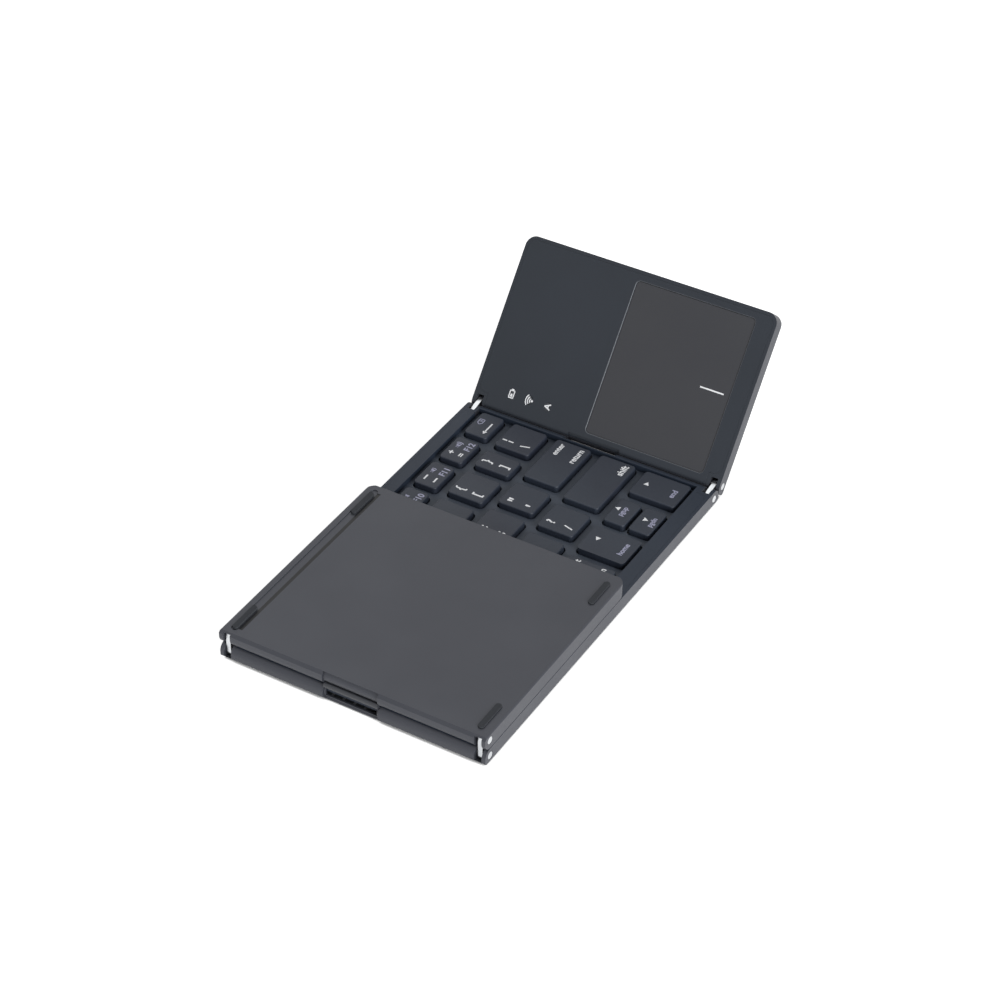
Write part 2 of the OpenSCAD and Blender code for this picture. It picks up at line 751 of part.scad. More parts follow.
// Links, pins, sleeve and ribbon of one hinge, with the middle panel's pin at the origin
module links() {
    color([0.86, 0.87, 0.88])
    for (side = [0, 1]) mirror([0, side, 0]) difference() {
        union() {
            rod_y(0, 0, link_y, link_y + link_t, link_r);
            rod_y(link_pitch, 0, link_y, link_y + link_t, link_r);
            block([0, link_y, -link_r], [link_pitch, link_y + link_t, link_r]);
        }
        for (x = [0, link_pitch]) rod_y(x, 0, link_y - over, link_y + link_t + over, pin_r + 0.01);
    }
}
module hinge_pins() {
    color([0.86, 0.87, 0.88])
    for (side = [0, 1], x = [0, link_pitch]) mirror([0, side, 0]) {
        rod_y(x, 0, pin_end_y, half_d - pin_head_t / 2, pin_r);
        rod_y(x, 0, half_d - pin_head_t - 0.05, half_d - 0.05, pin_head_r);
    }
}
module cable_sleeve() {
    color([0.30, 0.31, 0.33]) difference() {
        rod_y(link_pitch / 2, -sleeve_offset, -sleeve_l / 2, sleeve_l / 2, sleeve_r);
        block([link_pitch / 2 - sleeve_r - over, -sleeve_l / 2 + 0.8, -sleeve_offset - cable_t / 2],
            [link_pitch / 2 + sleeve_r + over, sleeve_l / 2 - 0.8, -sleeve_offset + cable_t / 2]);
    }
}
module flex_cable() {
    reach = sleeve_r * 0.9;
    color([0.12, 0.12, 0.13])
        block([link_pitch / 2 - reach, -sleeve_l / 2 + 1, -sleeve_offset - cable_t / 2 + 0.02],
            [link_pitch / 2 + reach, sleeve_l / 2 - 1, -sleeve_offset + cable_t / 2 - 0.02]);
}
module left_links() { on_left_links() links(); }
module left_hinge_pins() { on_left_links() hinge_pins(); }
module left_cable_sleeve() { on_left_links() cable_sleeve(); }
module left_flex_cable() { on_left_links() flex_cable(); }
module right_links() { on_right_links() links(); }
module right_hinge_pins() { on_right_links() hinge_pins(); }
module right_cable_sleeve() { on_right_links() cable_sleeve(); }
module right_flex_cable() { on_right_links() flex_cable(); }

// Keys of the middle panel
module key_color() { color([0.27, 0.29, 0.32]) children(); }
module key_backspace() { key_color() on_middle() number_row(1, 0, 0); }
module key_plus() { key_color() on_middle() number_row(1, 1, 1); }
module key_minus() { key_color() on_middle() number_row(1, 2, 2); }
module key_zero() { key_color() on_middle() number_row(1, 3, 3); }
module middle_number_keys() { key_color() on_middle() number_row(1, 4, 8); }
module key_backslash() { key_color() on_middle() upper_row(1, 0, 0); }
module key_right_bracket() { key_color() on_middle() upper_row(1, 1, 1); }
module key_left_bracket() { key_color() on_middle() upper_row(1, 2, 2); }
module middle_upper_keys() { key_color() on_middle() upper_row(1, 3, 8); }
module key_enter() { key_color() on_middle() home_row(1, 0, 0); }
module key_quote() { key_color() on_middle() home_row(1, 1, 1); }
module middle_home_keys() { key_color() on_middle() home_row(1, 2, 7); }
module key_right_shift() { key_color() on_middle() lower_row(1, 0, 0); }
module key_slash() { key_color() on_middle() lower_row(1, 1, 1); }
module middle_lower_keys() { key_color() on_middle() lower_row(1, 2, 7); }
module key_arrow_right() { key_color() on_middle() bottom_row(1, 0, 0); }
module key_arrow_up() { key_color() on_middle() arrow_half(1, 1); }
module key_arrow_down() { key_color() on_middle() arrow_half(1, 0); }
module key_arrow_left() { key_color() on_middle() bottom_row(1, 2, 2); }
module key_alt() { key_color() on_middle() bottom_row(1, 3, 3); }
module key_space() { key_color() on_middle() bottom_row(1, 4, 4); }

// Keys of the left flap, one node for each row
module left_number_keys() { key_color() on_left_flap() left_row(1, 0); }
module left_upper_keys() { key_color() on_left_flap() left_row(1, 1); }
module left_home_keys() { key_color() on_left_flap() left_row(1, 2); }
module left_lower_keys() { key_color() on_left_flap() left_row(1, 3); }
module left_bottom_keys() { key_color() on_left_flap() left_row(1, 4); }

middle_base();
middle_frame();
middle_key_plate();
middle_membrane();
middle_domes();
middle_feet();
middle_screws();
switch_magnet();
left_base();
left_frame();
left_key_plate();
left_membrane();
left_domes();
left_feet();
left_screws();
right_base();
right_cover();
touchpad();
touch_sensor_board();
main_board();
battery();
charging_socket();
indicator_lights();
right_feet();
right_screws();
left_links();
left_hinge_pins();
left_cable_sleeve();
left_flex_cable();
right_links();
right_hinge_pins();
right_cable_sleeve();
right_flex_cable();
key_zero();
key_minus();
key_plus();
key_backspace();
key_left_bracket();
key_right_bracket();
key_backslash();
key_quote();
key_enter();
key_slash();
key_right_shift();
key_arrow_left();
key_arrow_up();
key_arrow_down();
key_arrow_right();
key_alt();
key_space();
middle_number_keys();
middle_upper_keys();
middle_home_keys();
middle_lower_keys();
left_number_keys();
left_upper_keys();
left_home_keys();
left_lower_keys();
left_bottom_keys();
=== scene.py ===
# %% [markdown]
# # A folding keyboard in Blender
# The object is a pocket keyboard in three panels. The middle panel lies on the table with its keys
# up, the left flap is folded flat onto it, and the right flap with the touchpad stands half open.
# The engineering model gives every piece its place and size. This lesson gives the pieces rounded
# edges, finishes, legends and light, and leaves their shapes and places as they are.

# %% Load the frame
import json
import math

import bmesh
import bpy
from mathutils import Matrix, Vector

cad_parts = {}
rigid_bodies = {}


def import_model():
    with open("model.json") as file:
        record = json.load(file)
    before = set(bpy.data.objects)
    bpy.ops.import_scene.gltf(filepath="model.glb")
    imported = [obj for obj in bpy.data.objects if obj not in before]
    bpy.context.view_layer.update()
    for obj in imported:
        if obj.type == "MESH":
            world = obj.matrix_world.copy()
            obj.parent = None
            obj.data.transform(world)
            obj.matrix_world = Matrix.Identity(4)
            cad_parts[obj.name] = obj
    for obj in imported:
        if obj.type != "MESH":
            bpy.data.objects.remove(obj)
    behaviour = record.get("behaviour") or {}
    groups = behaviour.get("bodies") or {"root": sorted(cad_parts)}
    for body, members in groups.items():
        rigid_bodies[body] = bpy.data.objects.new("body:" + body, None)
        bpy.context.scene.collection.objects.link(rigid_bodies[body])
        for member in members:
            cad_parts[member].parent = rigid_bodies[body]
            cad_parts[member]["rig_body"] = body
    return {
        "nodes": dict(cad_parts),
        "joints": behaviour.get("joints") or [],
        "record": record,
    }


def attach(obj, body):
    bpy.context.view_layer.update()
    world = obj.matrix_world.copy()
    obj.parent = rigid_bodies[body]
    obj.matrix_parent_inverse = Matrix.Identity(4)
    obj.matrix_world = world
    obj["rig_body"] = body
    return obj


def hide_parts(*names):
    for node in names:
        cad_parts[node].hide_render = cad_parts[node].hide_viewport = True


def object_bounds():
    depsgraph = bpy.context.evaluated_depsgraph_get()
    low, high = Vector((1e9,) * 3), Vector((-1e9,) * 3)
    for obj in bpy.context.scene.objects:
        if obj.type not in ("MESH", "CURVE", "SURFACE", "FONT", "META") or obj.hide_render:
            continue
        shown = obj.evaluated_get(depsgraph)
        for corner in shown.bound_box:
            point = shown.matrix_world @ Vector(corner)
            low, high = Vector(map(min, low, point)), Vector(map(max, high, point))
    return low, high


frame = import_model()
cad_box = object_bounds()
MM = 0.001
nodes = frame["nodes"]
slot_of = {part["node"]: part["material_slot"] for part in frame["record"]["subparts"]}
body_of = {name: node["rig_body"] for name, node in nodes.items()}

# %% [markdown]
# ## Camera
# A product photograph of a small object is taken from some distance with a long lens, so that
# parallel edges stay nearly parallel. The camera's place and its focal length were solved from the
# corners of the panels, so the camera is set by numbers and not by eye. Blender's camera looks down
# its own -Z axis, so the direction away from the object becomes the camera's Z axis.

# %% Camera
CAMERA_PLACE = Vector((-0.61291, -0.37662, 0.60022))
CAMERA_AZIMUTH = math.radians(-59.01)
CAMERA_ELEVATION = math.radians(38.32)
CAMERA_LENS = 102.88
away = Vector((math.sin(CAMERA_AZIMUTH) * math.cos(CAMERA_ELEVATION),
               -math.cos(CAMERA_AZIMUTH) * math.cos(CAMERA_ELEVATION),
               math.sin(CAMERA_ELEVATION)))
sideways = Vector((0, 0, 1)).cross(away).normalized()
camera = bpy.data.objects.new("camera", bpy.data.cameras.new("camera"))
camera.data.sensor_width = 36
camera.data.lens = CAMERA_LENS
camera.data.clip_start = 0.01
camera.matrix_world = Matrix.Translation(CAMERA_PLACE) @ Matrix(
    (sideways, away.cross(sideways), away)).transposed().to_4x4()
bpy.context.scene.collection.objects.link(camera)
bpy.context.scene.camera = camera
bpy.context.scene.view_settings.view_transform = "Standard"
print("camera looks along", (-away).to_tuple(3))

# %% [markdown]
# ## A short way to write materials
# A finish is a small graph of nodes, and a graph is hard to read as a list of links. One class
# wraps a socket, so that sums and products of masks can be written as plain expressions. One
# method makes any other node. Colours are written as the eight-bit values that a picture editor
# shows and are turned into the linear light that the renderer works in.


# %% Material language
def tone(code):
    """Linear colour of a six-digit picture colour."""
    parts = [int(code[i:i + 2], 16) / 255 for i in (0, 2, 4)]
    return tuple(c / 12.92 if c <= 0.04045 else ((c + 0.055) / 1.055) ** 2.4 for c in parts) + (1,)


class Wire:
    """A socket of a finish that can be added to, subtracted from and scaled like a number."""

    def __init__(self, finish, socket):
        self.finish, self.socket = finish, socket

    def __add__(self, other):
        return self.finish.node("ShaderNodeMath", {"operation": "ADD"}, {0: self, 1: other})

    def __radd__(self, other):
        return self + other

    def __sub__(self, other):
        return self.finish.node("ShaderNodeMath", {"operation": "SUBTRACT"}, {0: self, 1: other})

    def __rsub__(self, other):
        return self.finish.node("ShaderNodeMath", {"operation": "SUBTRACT"}, {0: other, 1: self})

    def __mul__(self, other):
        return self.finish.node("ShaderNodeMath", {"operation": "MULTIPLY"}, {0: self, 1: other})

    def __rmul__(self, other):
        return self * other


class Finish:
    """One material and the nodes that make it."""

    def __init__(self, name):
        self.material = bpy.data.materials.new(name)
        self.material.use_nodes = True
        self.tree = self.material.node_tree
        self.tree.nodes.clear()
        self.place = self.node("ShaderNodeTexCoord", output="Object")

    def node(self, kind, settings=None, inputs=None, output=0):
        """Makes a node, applies its settings, fills its sockets and returns one output."""
        made = self.tree.nodes.new(kind)
        for key, value in (settings or {}).items():
            setattr(made, key, value)
        for key, value in (inputs or {}).items():
            if isinstance(value, Wire):
                self.tree.links.new(value.socket, made.inputs[key])
            else:
                made.inputs[key].default_value = value
        return Wire(self, made.outputs[output]) if len(made.outputs) else None

    def noise(self, size, detail=2.0, scale=(1, 1, 1)):
        """Smooth noise from 0 to 1 with spots about size across, longer where scale is under 1."""
        place = self.node("ShaderNodeMapping", inputs={"Vector": self.place, "Scale": scale})
        return self.node("ShaderNodeTexNoise",
                         inputs={"Vector": place, "Scale": 1 / size, "Detail": detail})

    def ramp(self, value, low, high):
        """Stretches the part of a value between low and high over the whole range from 0 to 1."""
        return self.node("ShaderNodeMapRange", {"interpolation_type": "SMOOTHSTEP"},
                         {"Value": value, "From Min": low, "From Max": high})

    def blend(self, share, first, second):
        """Mixes two colours: the first where share is 0 and the second where it is 1."""
        return self.node("ShaderNodeMix", {"data_type": "RGBA"}, {0: share, 6: first, 7: second},
                         output=2)

    def grain(self, height, depth):
        """Normal of a fine surface relief of some depth."""
        return self.node("ShaderNodeBump",
                         inputs={"Height": height, "Distance": depth, "Strength": 1.0})

    def close(self, colour, roughness, metallic=0.0, normal=None, **constants):
        """Feeds the main shader and returns the material. A constant has _ for a space."""
        inputs = {"Base Color": colour, "Roughness": roughness, "Metallic": metallic}
        if normal is not None:
            inputs["Normal"] = normal
        inputs.update({key.replace("_", " "): value for key, value in constants.items()})
        shader = self.node("ShaderNodeBsdfPrincipled", inputs=inputs)
        self.node("ShaderNodeOutputMaterial", inputs={"Surface": shader})
        return self.material


# %% [markdown]
# ## Plastics
# The deck, the cover and the keys are moulded in blue-grey plastic from a mould with a fine spark
# texture. Up close it is a field of tiny bumps that spread the highlights. A finish like that needs
# three scales: the grain as a bump, a slow drift of the colour as on any large moulding, and a
# slow change of the gloss where fingers polish it. All three are noise in the object's own
# coordinates, so they stay in place when a flap is folded. The keys stand close round the sunk
# floor of the deck and take half of its light. On the real keyboard it still looks as light as the
# rim, so the floor gets a lighter tone: painted light that makes up for the shade of the keys.


# %% Moulded plastic
def moulded(name, dark, light, roughness, grain_size, depth, gloss):
    """Spark-textured plastic between two close tones, with its grain in millimetres."""
    finish = Finish(name)
    drift = finish.ramp(finish.noise(30 * MM), 0.3, 0.7)
    speck = finish.noise(grain_size * MM, 3.0)
    share = drift * 0.6 + speck * 0.4
    colour = finish.blend(share, tone(dark), tone(light))
    polish = roughness + (finish.noise(12 * MM) - 0.5) * 0.12 + (speck - 0.5) * 0.1
    return finish.close(colour, polish, normal=finish.grain(speck, depth * MM),
                        Specular_IOR_Level=gloss)


deck_plastic = moulded("deck_plastic", "1f2733", "252d3a", 0.5, 0.22, 0.02, 0.3)
# A lighter copy of the deck plastic, painted light on the sunk floor against the shade of the keys.
deck_floor_plastic = moulded("deck_floor_plastic", "353b45", "3d444f", 0.5, 0.22, 0.02, 0.3)
key_plastic = moulded("key_plastic", "232733", "29303b", 0.46, 0.16, 0.014, 0.35)
cover_plastic = moulded("cover_plastic", "22272e", "272c34", 0.5, 0.2, 0.016, 0.35)
touch_plastic = moulded("touch_plastic", "313237", "35363a", 0.4, 0.12, 0.006, 0.4)
sleeve_plastic = moulded("sleeve_plastic", "2e3035", "34363b", 0.42, 0.2, 0.01, 0.5)
tongue_plastic = moulded("tongue_plastic", "0c0c0d", "111112", 0.4, 0.2, 0.01, 0.5)
print("seven moulded plastics")

# %% [markdown]
# ## Anodised shells
# The shells are thin metal trays, blasted with fine beads and anodised dark grey. Bead blasting
# leaves shallow round dents, which a Voronoi texture gives better than noise does, and the oxide
# layer keeps a little metallic sheen. The bevel round the touchpad is the same metal in a lighter
# grey, a painted highlight, and so is the outer wall of the channel that holds the back feet. The
# slope of that channel is painted darker, as painted shade.


# %% Anodised metal
DENTS_PER_METRE = 5200.0


def anodised(name, dark, light):
    """Bead-blasted, dark anodised aluminium."""
    finish = Finish(name)
    dents = finish.node("ShaderNodeTexVoronoi", {"feature": "SMOOTH_F1"},
                        {"Vector": finish.place, "Scale": DENTS_PER_METRE, "Smoothness": 0.6})
    drift = finish.ramp(finish.noise(40 * MM), 0.3, 0.7)
    colour = finish.blend(drift * 0.7 + dents * 0.3, tone(dark), tone(light))
    polish = 0.42 + (finish.noise(15 * MM) - 0.5) * 0.1 + dents * 0.06
    return finish.close(colour, polish, 0.35, finish.grain(dents, 0.008 * MM),
                        Specular_IOR_Level=0.5)


shell_metal = anodised("shell_metal", "393b42", "3f4148")
# A lighter grey, a painted highlight on the touchpad's bevel and the channel's outer wall.
edge_metal = anodised("edge_metal", "4c4f55", "54575c")
# A near-black grey, painted shade on the slope of the channel.
shade_metal = anodised("shade_metal", "0a0b0d", "0e0f11")
print("anodised shell, edge and channel")

# %% [markdown]
# ## Bright metal
# The hinge links and pins are nickel-plated steel. Plate, screws and socket are bare steel. All are
# metallic, and what tells them apart is how rough they are and the direction of the fine scratches
# from rolling or turning. Noise that is stretched along one axis draws such scratches.


# %% Steels
def steel(name, dark, light, roughness, scale):
    """Metal whose fine scratches run along the axes where scale is small."""
    finish = Finish(name)
    scratch = finish.noise(0.08 * MM, scale=scale)
    cloud = finish.ramp(finish.noise(4 * MM), 0.35, 0.65)
    colour = finish.blend(scratch * 0.5 + cloud * 0.5, tone(dark), tone(light))
    return finish.close(colour, roughness + scratch * 0.1, 1.0, finish.grain(scratch, 0.003 * MM))


link_metal = steel("link_metal", "b9bcbf", "d4d6d8", 0.24, (0.15, 1, 0.15))
plate_metal = steel("plate_metal", "9a9c9f", "b4b6b8", 0.38, (0.05, 1, 1))
screw_metal = steel("screw_metal", "a5a7aa", "c0c2c4", 0.28, (1, 1, 0.1))
socket_metal = steel("socket_metal", "b4b6b8", "cfd1d2", 0.3, (0.1, 1, 1))
contact_gold = steel("contact_gold", "c79a3c", "e2ba63", 0.25, (0.2, 1, 1))
print("five bright metals")

# %% [markdown]
# ## Rubber, film, boards and light guides
# The feet are matt black rubber. The domes are milky silicone, which lets some light in, so they
# get subsurface scattering. The membrane is a smoky film with silver tracks, drawn with a brick
# texture because its tracks run in straight lanes. The boards are green lacquer over copper tracks.
# The battery is wrapped in creased foil, and the ribbon cable is black film over copper lines.


# %% Rubber and silicone
def rubber():
    """Matt rubber of the feet."""
    finish = Finish("foot_rubber")
    speck = finish.noise(0.3 * MM, 4.0)
    colour = finish.blend(speck, tone("2a2c30"), tone("35383d"))
    return finish.close(colour, 0.72 + speck * 0.15, normal=finish.grain(speck, 0.03 * MM),
                        Specular_IOR_Level=0.3)


def silicone():
    """Milky silicone of the domes."""
    finish = Finish("dome_silicone")
    cloud = finish.noise(2 * MM)
    colour = finish.blend(cloud, tone("d9d9d3"), tone("e8e8e3"))
    return finish.close(colour, 0.45 + cloud * 0.1, normal=finish.grain(cloud, 0.01 * MM),
                        Subsurface_Weight=0.3, Subsurface_Scale=1 * MM)


foot_rubber, dome_silicone = rubber(), silicone()
print("rubber and silicone")


# %% Printed film and lacquered boards
def tracked(name, ground, track, lane, roughness, metallic):
    """Sheet with a straight conductor track along each lane and short links between them."""
    finish = Finish(name)
    lanes = finish.node("ShaderNodeTexBrick", {"offset": 0.35, "offset_frequency": 2},
                        {"Vector": finish.place, "Color1": (0, 0, 0, 1), "Color2": (0, 0, 0, 1),
                         "Mortar": (1, 1, 1, 1), "Scale": 1.0, "Mortar Size": lane * 0.12,
                         "Mortar Smooth": 0.1, "Brick Width": lane * 7, "Row Height": lane},
                        output="Fac")
    speck = finish.noise(0.6 * MM)
    base = finish.blend(speck, tone(ground[0]), tone(ground[1]))
    colour = finish.blend(lanes, base, tone(track))
    return finish.close(colour, roughness + speck * 0.1, lanes * metallic,
                        finish.grain(lanes + speck * 0.2, 0.01 * MM))


film = tracked("membrane_film", ("26282b", "2f3235"), "6c6f73", 4 * MM, 0.35, 0.5)
board_lacquer = tracked("board_lacquer", ("0b3a1f", "104626"), "1f5f37", 1.2 * MM, 0.28, 0.1)
print("film and lacquer with tracks")


# %% Battery, light guides and ribbon
def wrapped():
    """Creased foil pouch of the battery."""
    finish = Finish("battery_pouch")
    crease = finish.noise(3 * MM, 5.0)
    colour = finish.blend(crease, tone("aeb1b6"), tone("c9ccd0"))
    return finish.close(colour, 0.32 + crease * 0.15, 0.7, finish.grain(crease, 0.2 * MM))


def guide():
    """Slightly milky light guide, dark while the light behind it is off."""
    finish = Finish("light_guide")
    cloud = finish.noise(0.8 * MM)
    colour = finish.blend(cloud, tone("262a30"), tone("2d3137"))
    return finish.close(colour, 0.22 + cloud * 0.08, Specular_IOR_Level=0.5)


RIBBON_WAVES = 320.0


def ribbon():
    """Black film of the ribbon cable with its copper lines standing out a little."""
    finish = Finish("ribbon_film")
    stripe = finish.node("ShaderNodeTexWave", {"wave_type": "BANDS", "bands_direction": "Y"},
                         {"Vector": finish.place, "Scale": RIBBON_WAVES})
    colour = finish.blend(stripe, tone("15161a"), tone("25262a"))
    return finish.close(colour, 0.3 + stripe * 0.1, normal=finish.grain(stripe, 0.02 * MM))


battery_pouch, light_guide, ribbon_film = wrapped(), guide(), ribbon()
print("pouch, light guide and ribbon")

# %% [markdown]
# ## Printed legends
# The legends are printed on the keys in white, and the second functions in a lavender grey. Ink has
# a thin, slightly uneven edge and is a little glossier than the plastic.


# %% Inks
def ink(name, dark, light):
    """Printing ink between two close tones."""
    finish = Finish(name)
    cloud = finish.noise(0.5 * MM)
    colour = finish.blend(cloud, tone(dark), tone(light))
    return finish.close(colour, 0.38 + cloud * 0.1, normal=finish.grain(cloud, 0.004 * MM))


white_ink = ink("white_ink", "e4e6ea", "f4f5f7")
grey_ink = ink("grey_ink", "9c9db6", "a9aac2")
print(len(bpy.data.materials), "materials")

# %% [markdown]
# ## Finishes on the engineering pieces
# Every piece gets the finish of its material slot. Nothing is left with the flat colour that it
# was imported with, not even what only shows when a flap is taken apart.

# %% Assign finishes
finish_of_slot = {
    "shell": shell_metal, "deck": deck_plastic, "cover": cover_plastic, "keycap": key_plastic,
    "touch_surface": touch_plastic, "rubber_foot": foot_rubber, "dome_rubber": dome_silicone,
    "steel": plate_metal, "hinge_metal": link_metal, "film": film, "board": board_lacquer,
    "pouch": battery_pouch, "light_guide": light_guide, "sleeve": sleeve_plastic,
    "ribbon": ribbon_film}
finish_of_node = {name: finish_of_slot[slot] for name, slot in slot_of.items()}
finish_of_node["charging_socket"] = socket_metal
for name in ("middle_screws", "left_screws", "right_screws", "switch_magnet"):
    finish_of_node[name] = screw_metal
for name, node in nodes.items():
    node.data.materials.clear()
    node.data.materials.append(finish_of_node[name])
print(len(finish_of_node), "nodes have a finish")

# %% [markdown]
# ## Rounded edges
# No real edge is perfectly sharp. A moulded or machined edge has a small radius, and the thin
# bright line that it catches is most of what makes a render look real. The engineering mesh is
# loose triangles, so a copy is merged first, and its flat triangles are joined back into faces.
# Then only the sharp edges get a bevel of a few segments, and the copy takes the place of its node.
# A bevel shrinks as a whole when one of its edges has no room for it, so each connected group of
# edges is bevelled by itself, and a tight corner doesn't flatten the edges elsewhere.


# %% Merged copies
WELD = 0.002 * MM
FLAT = math.radians(0.6)
SHARP = math.radians(32)
SHADED_SHARP = math.radians(35)


def merged_copy(name):
    """A new mesh of one CAD node, welded, with its flat triangles joined into faces."""
    shape = bmesh.new()
    shape.from_mesh(nodes[name].data)
    bmesh.ops.remove_doubles(shape, verts=shape.verts, dist=WELD)
    bmesh.ops.dissolve_limit(shape, angle_limit=FLAT, verts=shape.verts, edges=shape.edges)
    shape.normal_update()
    return shape


def sharp_edges(shape):
    """Edges where two faces meet at a clear angle, at an outward corner."""
    return [e for e in shape.edges if e.is_manifold and e.is_convex
            and e.calc_face_angle() > SHARP]


def connected(edges):
    """Sorts edges into groups that share corners."""
    waiting, groups = dict.fromkeys(edges), []
    while waiting:
        group = [waiting.popitem()[0]]
        for edge in group:
            for near in (e for corner in edge.verts for e in corner.link_edges):
                if near in waiting:
                    del waiting[near]
                    group.append(near)
        groups.append(group)
    return groups


def rounded(shape, edges, radius, segments=2):
    """Bevels some edges of a shape, one connected group at a time."""
    for group in connected(edges):
        bmesh.ops.bevel(shape, geom=group, offset=radius, offset_type="OFFSET", affect="EDGES",
                        segments=segments, profile=0.5, material=-1, clamp_overlap=True)
    return shape


def place(shape, name, finishes, body):
    """Makes a shape an object that rides on a body."""
    mesh = bpy.data.meshes.new(name)
    for face in shape.faces:
        face.smooth = True
    for edge in shape.edges:
        if edge.is_manifold and edge.calc_face_angle() > SHADED_SHARP:
            edge.smooth = False
    shape.to_mesh(mesh)
    shape.free()
    for finish in finishes:
        mesh.materials.append(finish)
    piece = bpy.data.objects.new(name, mesh)
    bpy.context.scene.collection.objects.link(piece)
    shading = piece.modifiers.new("even_shading", "WEIGHTED_NORMAL")
    shading.keep_sharp = True
    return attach(piece, body)


def stand_in(name, shape, finishes=None):
    """Puts a dressed shape in the place of its node."""
    piece = place(shape, name + "_rounded", finishes or [finish_of_node[name]], body_of[name])
    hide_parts(name)
    print(name, len(piece.data.polygons), "faces")
    return piece


# %% Hinges, feet and touchpad
small_radius = {"left_links": 0.15, "right_links": 0.15, "left_hinge_pins": 0.15,
                "right_hinge_pins": 0.15, "middle_feet": 0.2, "left_feet": 0.2,
                "right_feet": 0.2, "touchpad": 0.15, "left_cable_sleeve": 0.1,
                "right_cable_sleeve": 0.1}
for name, radius in small_radius.items():
    shape = merged_copy(name)
    stand_in(name, rounded(shape, sharp_edges(shape), radius * MM))

# %% [markdown]
# ## Panels whose seam disappears
# On the real keyboard the frame fills its shell so closely that no seam shows, and the shell's rim
# has the colour of the deck. So the edges along the seam stay sharp, and the faces of the shell
# that lie in its rim get the deck's finish. Each panel looks along its own face direction: up for
# the middle panel, down for the folded flap, and at right angles to the touchpad for the other
# flap. The bevel round the touchpad and the outer wall of the channel get a lighter grey as a
# painted highlight, the channel's slope gets a near-black grey as painted shade, and the sunk floor
# of a deck gets a lighter tone as painted light against the shade of the keys.

# %% Face direction of each panel
touch_area = max(nodes["touchpad"].data.polygons, key=lambda polygon: polygon.area)
touch_out = touch_area.normal.copy() if touch_area.normal.z > 0 else -touch_area.normal
face_of_panel = {"middle": Vector((0, 0, 1)), "left": Vector((0, 0, -1)), "right": touch_out}


def rim_height(point, panel):
    """Height of a point along the face direction of its panel."""
    return point.dot(face_of_panel[panel])


def over(name, margin):
    """Lowest and highest corner of a node seen from above, with a margin."""
    spots = [v.co for v in nodes[name].data.vertices]
    return [[pick(spot[i] for spot in spots) + side * margin for i in range(2)]
            for pick, side in ((min, -1), (max, 1))]


print("the touchpad faces", touch_out.to_tuple(3))

# %% Faces of a panel that get a finish of their own
# Places are measured from the middle of the object, along its depth.
CHANNEL_SLOPE = (42.4 * MM, 44.3 * MM)
CHANNEL_WALL = (46.3 * MM, 47.0 * MM)
PAD_MARGIN = 0.6 * MM
RIM_BAND = 0.1 * MM
DECK_DROP = 1.5 * MM
OUTWARDS = 0.8
pad_low, pad_high = over("touchpad", PAD_MARGIN)


def shell_finish(face, panel, rim):
    """Number of a shell face's finish: 1 in the rim, 2 painted highlight, 3 painted shade in the
    channel.
    """
    spot, facing = face.calc_center_median(), face.normal.dot(face_of_panel[panel])
    back = face.normal.y
    if facing > OUTWARDS and abs(rim_height(spot, panel) - rim) < RIM_BAND:
        return 1
    # Painted highlight on the channel's outer wall.
    if facing < 0.1 and back < -0.25 and CHANNEL_WALL[0] < spot.y < CHANNEL_WALL[1]:
        return 2
    # Painted shade on the channel's slope.
    if facing < -0.5 and 0.1 < back < 0.5 and CHANNEL_SLOPE[0] < spot.y < CHANNEL_SLOPE[1]:
        return 3
    return 0


def inlay_finish(face, panel, rim):
    """Number of a frame or cover face's finish: 1 for painted light on deck floor and pocket bevel.
    """
    spot, facing = face.calc_center_median(), face.normal.dot(face_of_panel[panel])
    if panel == "right":
        # On the touchpad flap the pocket's bevel takes the painted highlight.
        over_pad = all(pad_low[i] < spot[i] < pad_high[i] for i in range(2))
        return int(over_pad and 0.25 < facing < 0.97)
    # Elsewhere the deck's sunk floor takes the painted light.
    return int(facing > OUTWARDS and rim - rim_height(spot, panel) > DECK_DROP)


# %% Shells, frames and cover
SEAM_Y = 44.5 * MM
WALL_Y = 48.4 * MM
SHELL_RADIUS = 0.2 * MM
# The second finish of each panel is painted light: a lighter deck floor, and a highlight on the
# touchpad's bevel.
inlays = {"middle": ("middle_frame", deck_plastic, deck_floor_plastic, 0.15 * MM),
          "left": ("left_frame", deck_plastic, deck_floor_plastic, 0.15 * MM),
          "right": ("right_cover", cover_plastic, edge_metal, 0.28 * MM)}
for panel, (inlay, main_finish, second_finish, radius) in inlays.items():
    shape = merged_copy(panel + "_base")
    rim = max(rim_height(v.co, panel) for v in shape.verts)
    edges = [e for e in sharp_edges(shape)
             if rim_height(e.verts[0].co + e.verts[1].co, panel) < 2 * rim - RIM_BAND
             or abs(e.verts[0].co.y + e.verts[1].co.y) > 2 * WALL_Y]
    rounded(shape, edges, SHELL_RADIUS)
    # Finishes 2 and 3 paint a highlight and a shade on the channel.
    for face in shape.faces:
        face.material_index = shell_finish(face, panel, rim)
    stand_in(panel + "_base", shape, [shell_metal, main_finish, edge_metal, shade_metal])
    shape = merged_copy(inlay)
    edges = [e for e in sharp_edges(shape)
             if abs(e.verts[0].co.y + e.verts[1].co.y) < 2 * SEAM_Y]
    rounded(shape, edges, radius, 3)
    for face in shape.faces:
        face.material_index = inlay_finish(face, panel, rim)
    stand_in(inlay, shape, [main_finish, second_finish])

# %% [markdown]
# ## Keys with soft tops
# The tops of the keys have a rounder edge than the rest, which is the first thing that a fingertip
# feels. Only the edges of the top face get this larger radius.

